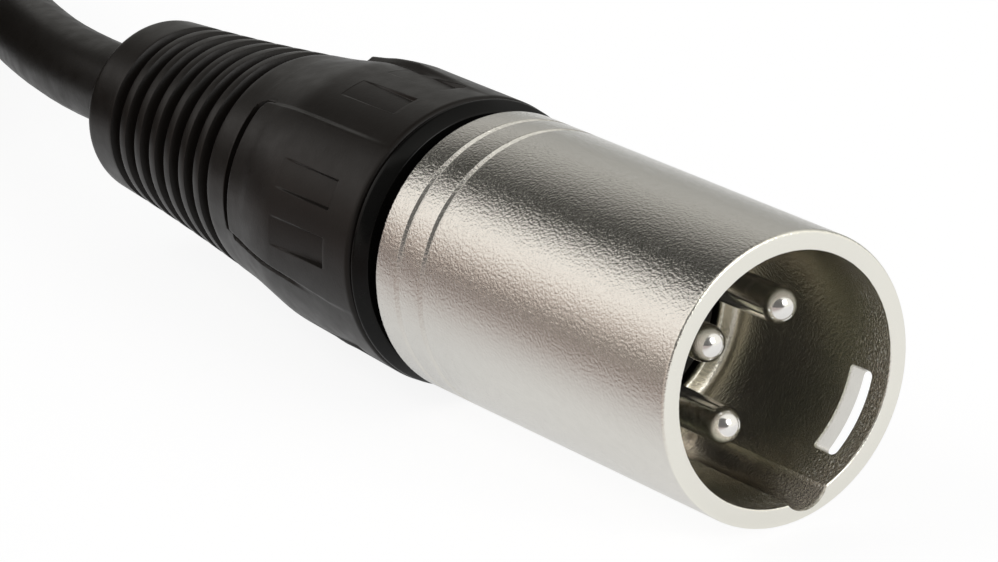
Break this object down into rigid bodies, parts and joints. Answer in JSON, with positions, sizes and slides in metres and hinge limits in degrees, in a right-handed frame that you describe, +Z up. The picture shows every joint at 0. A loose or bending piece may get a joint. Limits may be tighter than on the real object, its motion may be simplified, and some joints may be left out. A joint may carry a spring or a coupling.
{
  "type": "microphone cable",
  "caption": "Balanced audio cable with a pinned plug at one end, a latching socket at the other and round cord coiled between them.",
  "frame": {"origin": "centre of the underside of the male connector's box, on the floor that it lies on", "axes": "+X is the direction in which the male connector's mating face points, +Z is up, and +Y completes a right-handed frame"},
  "size_m": [0.2015, 0.0952, 0.0268],
  "materials": {
    "satin_nickel": "satin nickel plated die-cast shell",
    "black_plastic": "glossy black moulded plastic",
    "silver_contact": "bright silver plated contact",
    "black_boot": "matte black moulded elastomer",
    "cable_jacket": "matte black flexible jacket",
    "spring_steel": "plain spring steel",
    "wire_red": "red wire insulation",
    "wire_white": "white wire insulation",
    "tinned_copper": "tinned copper strands",
    "strap_cloth": "black hook-and-loop strap"
  },
  "bodies": {
    "cable_body": {"male_shell": "satin_nickel", "male_insert": "black_plastic", "pin_1": "silver_contact", "pin_2": "silver_contact", "pin_3": "silver_contact", "male_ground_spring": "spring_steel", "male_chuck": "black_plastic", "male_gland_nut": "black_plastic", "male_flex_boot": "black_boot", "male_hot_core": "wire_red", "male_cold_core": "wire_white", "male_drain": "tinned_copper", "female_shell": "satin_nickel", "female_insert": "black_plastic", "socket_1": "silver_contact", "socket_2": "silver_contact", "socket_3": "silver_contact", "latch_pin": "spring_steel", "latch_spring": "spring_steel", "female_ground_spring": "spring_steel", "female_chuck": "black_plastic", "female_gland_nut": "black_plastic", "female_flex_boot": "black_boot", "female_hot_core": "wire_red", "female_cold_core": "wire_white", "female_drain": "tinned_copper", "cable_lead": "cable_jacket", "cable_coil": "cable_jacket", "coil_tie": "strap_cloth", "cable_tail": "cable_jacket"},
    "latch_lever": {"latch": "satin_nickel"}
  },
  "joints": [
    {"name": "latch_hinge", "type": "hinge", "parent": "cable_body", "child": "latch_lever", "pos_m": [-0.0155, -0.0622, 0.0161], "axis": [0, 1, 0], "range_deg": [0, 2.7], "stiffness_Nm_per_rad": 0.02, "springref_deg": -11.46, "deforming": ["latch_spring"]}
  ]
}
